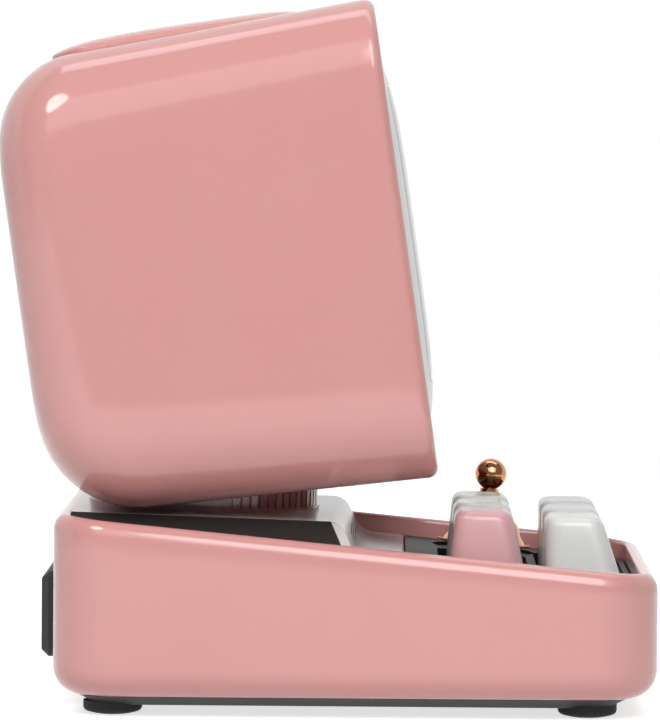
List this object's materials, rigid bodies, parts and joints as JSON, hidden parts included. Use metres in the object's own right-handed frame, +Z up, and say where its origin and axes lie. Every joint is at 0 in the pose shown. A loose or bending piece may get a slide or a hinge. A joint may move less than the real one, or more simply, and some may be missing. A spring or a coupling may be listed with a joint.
{
  "type": "desktop pixel-display speaker",
  "caption": "Rounded box head with a square pixel display and rear speaker grille, leaning back on a short ribbed neck over a wedge tray with sculpted keys and a ball-topped lever.",
  "frame": {"origin": "middle of the bounding box at the surface that the feet stand on", "axes": "+Z up, the display and keys face -Y, +X to the right seen from the front"},
  "size_m": [0.0902, 0.112, 0.1206],
  "materials": {
    "pink_plastic": "glossy moulded shell",
    "white_plastic": "glossy moulded off-white",
    "dark_plastic": "fine matt texture",
    "smoked_lens": "smoked glossy acrylic",
    "inner_black": "moulded, hidden inside",
    "circuit_board": "solder mask",
    "rubber": "moulded rubber",
    "foam": "soft gasket",
    "copper_plate": "polished copper plating",
    "steel": "machined steel",
    "aluminium": "turned aluminium",
    "magnet": "zinc-plated magnet pot",
    "paper_cone": "coated paper and rubber surround",
    "cell_sleeve": "steel cell in a shrink sleeve"
  },
  "bodies": {
    "case": {"base_screws": "steel", "base_shell": "pink_plastic", "battery": "cell_sleeve", "board_screws": "steel", "bottom_plate": "dark_plastic", "card_socket": "steel", "cheek_left": "dark_plastic", "cheek_right": "dark_plastic", "deck_cover": "white_plastic", "display_window": "smoked_lens", "front_fascia": "white_plastic", "head_shell": "pink_plastic", "key_board": "circuit_board", "key_plate": "dark_plastic", "key_spring_back_1": "steel", "key_spring_back_2": "steel", "key_spring_back_3": "steel", "key_spring_front_1": "steel", "key_spring_front_2": "steel", "key_spring_front_3": "steel", "key_switches": "inner_black", "led_board": "circuit_board", "lever_housing": "inner_black", "light_grid": "inner_black", "main_board": "circuit_board", "neck_collar": "pink_plastic", "neck_nut": "aluminium", "neck_post": "aluminium", "neck_washer": "inner_black", "port_block": "dark_plastic", "power_switch": "inner_black", "rear_grille": "dark_plastic", "rubber_feet": "rubber", "speaker_cone": "paper_cone", "speaker_frame": "inner_black", "speaker_gasket": "foam", "speaker_magnet": "magnet", "speaker_screws": "steel", "top_plate": "pink_plastic", "usb_socket": "steel"},
    "key_back_1": {"key_back_1": "pink_plastic", "plunger_back_1": "inner_black"},
    "key_back_2": {"key_back_2": "white_plastic", "plunger_back_2": "inner_black"},
    "key_back_3": {"key_back_3": "white_plastic", "plunger_back_3": "inner_black"},
    "key_front_1": {"key_front_1": "white_plastic", "plunger_front_1": "inner_black"},
    "key_front_2": {"key_front_2": "white_plastic", "plunger_front_2": "inner_black"},
    "key_front_3": {"key_front_3": "white_plastic", "plunger_front_3": "inner_black"},
    "lever_gimbal": {"lever_cradle": "inner_black"},
    "lever": {"lever_stem": "copper_plate", "lever_bell": "copper_plate", "lever_ball": "copper_plate"},
    "power_slider": {"power_slider": "dark_plastic"}
  },
  "joints": [
    {"name": "key_back_1_press", "type": "slide", "parent": "case", "child": "key_back_1", "axis": [0, 0.0941, -0.9956], "range_m": [0, 0.0028], "stiffness_N_per_m": 110, "springref_m": -0.002, "deforming": ["key_spring_back_1"]},
    {"name": "key_back_2_press", "type": "slide", "parent": "case", "child": "key_back_2", "axis": [0, 0.0941, -0.9956], "range_m": [0, 0.0028], "stiffness_N_per_m": 110, "springref_m": -0.002, "deforming": ["key_spring_back_2"]},
    {"name": "key_back_3_press", "type": "slide", "parent": "case", "child": "key_back_3", "axis": [0, 0.0941, -0.9956], "range_m": [0, 0.0028], "stiffness_N_per_m": 110, "springref_m": -0.002, "deforming": ["key_spring_back_3"]},
    {"name": "key_front_1_press", "type": "slide", "parent": "case", "child": "key_front_1", "axis": [0, 0.0941, -0.9956], "range_m": [0, 0.0028], "stiffness_N_per_m": 110, "springref_m": -0.002, "deforming": ["key_spring_front_1"]},
    {"name": "key_front_2_press", "type": "slide", "parent": "case", "child": "key_front_2", "axis": [0, 0.0941, -0.9956], "range_m": [0, 0.0028], "stiffness_N_per_m": 110, "springref_m": -0.002, "deforming": ["key_spring_front_2"]},
    {"name": "key_front_3_press", "type": "slide", "parent": "case", "child": "key_front_3", "axis": [0, 0.0941, -0.9956], "range_m": [0, 0.0028], "stiffness_N_per_m": 110, "springref_m": -0.002, "deforming": ["key_spring_front_3"]},
    {"name": "lever_fore_aft", "type": "hinge", "parent": "case", "child": "lever_gimbal", "pos_m": [0.03, -0.02716, 0.01909], "axis": [1, 0, 0], "range_deg": [-6, 6], "stiffness_Nm_per_rad": 0.08},
    {"name": "lever_side_to_side", "type": "hinge", "parent": "lever_gimbal", "child": "lever", "pos_m": [0.03, -0.02716, 0.01909], "axis": [0, 0.9956, 0.0941], "range_deg": [-6, 6], "stiffness_Nm_per_rad": 0.08},
    {"name": "power_slide", "type": "slide", "parent": "case", "child": "power_slider", "axis": [1, 0, 0], "range_m": [0, 0.002]}
  ]
}
